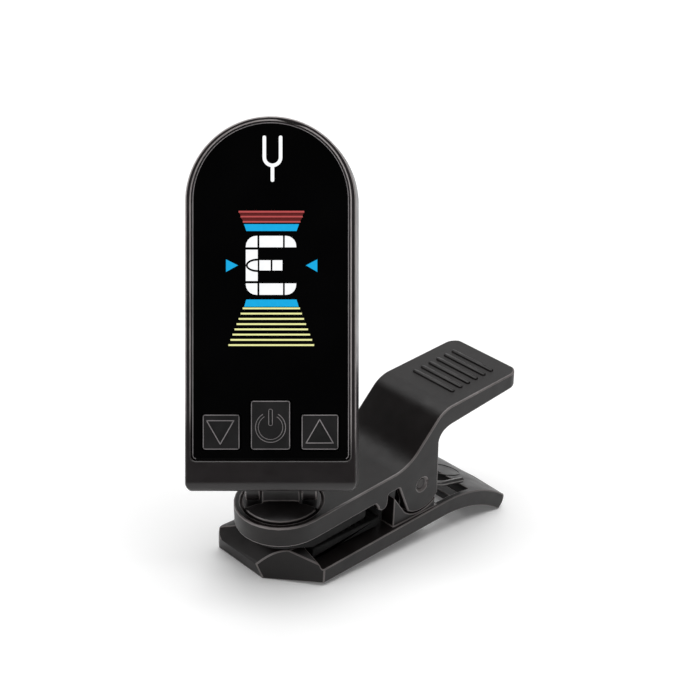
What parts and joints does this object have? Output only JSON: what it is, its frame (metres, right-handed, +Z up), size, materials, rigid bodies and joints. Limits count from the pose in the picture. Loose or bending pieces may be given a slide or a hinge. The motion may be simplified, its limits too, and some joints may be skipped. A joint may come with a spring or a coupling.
{
  "type": "clip-on tuner",
  "caption": "Clip-on tuner: a sprung jaw clip carries a swivelling, tilting slim head with an arched top, lit display window and three keys.",
  "frame": {"origin": "middle of the bounding box's bottom, at the level where the lower jaw stands on the table", "axes": "+X runs along the clip from the jaws to the finger handles, +Z up, +Y to the left when looking along +X"},
  "size_m": [0.0706, 0.0438, 0.0767],
  "materials": {
    "shell": "satin black moulded plastic",
    "rubber": "matt rubber",
    "key": "matt silicone key",
    "glass": "glossy dark window",
    "steel": "plated steel",
    "screen": "liquid crystal panel",
    "guide": "clear light guide",
    "board": "solder resist",
    "chip": "moulded package",
    "brass": "stamped strip"
  },
  "bodies": {
    "lower_jaw": {"lower_jaw": "shell", "lower_pad": "rubber", "pivot_pin": "steel", "torsion_spring": "steel"},
    "upper_jaw": {"upper_jaw": "shell", "upper_pad": "rubber"},
    "turntable": {"turntable": "shell", "friction_washer": "steel", "swivel_screw": "steel"},
    "head": {"front_case": "shell", "rear_case": "shell", "window": "glass", "display_panel": "screen", "light_guide": "guide", "circuit_board": "board", "processor": "chip", "coin_cell": "steel", "negative_contact": "brass", "positive_contact": "brass", "piezo_sensor": "brass", "switch_down": "steel", "switch_power": "steel", "switch_up": "steel", "case_screw_1": "steel", "case_screw_2": "steel", "case_screw_3": "steel", "case_screw_4": "steel", "tilt_pin": "steel"},
    "button_down": {"button_down": "key"},
    "button_power": {"button_power": "key"},
    "button_up": {"button_up": "key"},
    "battery_cap": {"battery_cap": "shell"}
  },
  "joints": [
    {"name": "jaw_hinge", "type": "hinge", "parent": "lower_jaw", "child": "upper_jaw", "pos_m": [0.00971, -0.00725, 0.01245], "axis": [0, 1, 0], "range_deg": [0, 32], "stiffness_Nm_per_rad": 0.2, "springref_deg": -22.92, "deforming": ["torsion_spring"]},
    {"name": "swivel", "type": "hinge", "parent": "upper_jaw", "child": "turntable", "pos_m": [-0.01722, -0.00725, 0.01338], "axis": [-0.1664, 0, 0.9861], "continuous": true},
    {"name": "tilt", "type": "hinge", "parent": "turntable", "child": "head", "pos_m": [-0.01775, -0.00725, 0.01654], "axis": [0.7182, -0.6852, 0.1212], "range_deg": [-44, 30]},
    {"name": "press_down", "type": "slide", "parent": "head", "child": "button_down", "axis": [0.6662, 0.6269, -0.4038], "range_m": [0, 0.0005], "stiffness_N_per_m": 600},
    {"name": "press_power", "type": "slide", "parent": "head", "child": "button_power", "axis": [0.6662, 0.6269, -0.4038], "range_m": [0, 0.0005], "stiffness_N_per_m": 600},
    {"name": "press_up", "type": "slide", "parent": "head", "child": "button_up", "axis": [0.6662, 0.6269, -0.4038], "range_m": [0, 0.0005], "stiffness_N_per_m": 600},
    {"name": "battery_cap_turn", "type": "hinge", "parent": "head", "child": "battery_cap", "pos_m": [-0.01271, 0.00508, 0.04523], "axis": [0.6662, 0.6269, -0.4038], "range_deg": [0, 40]}
  ]
}
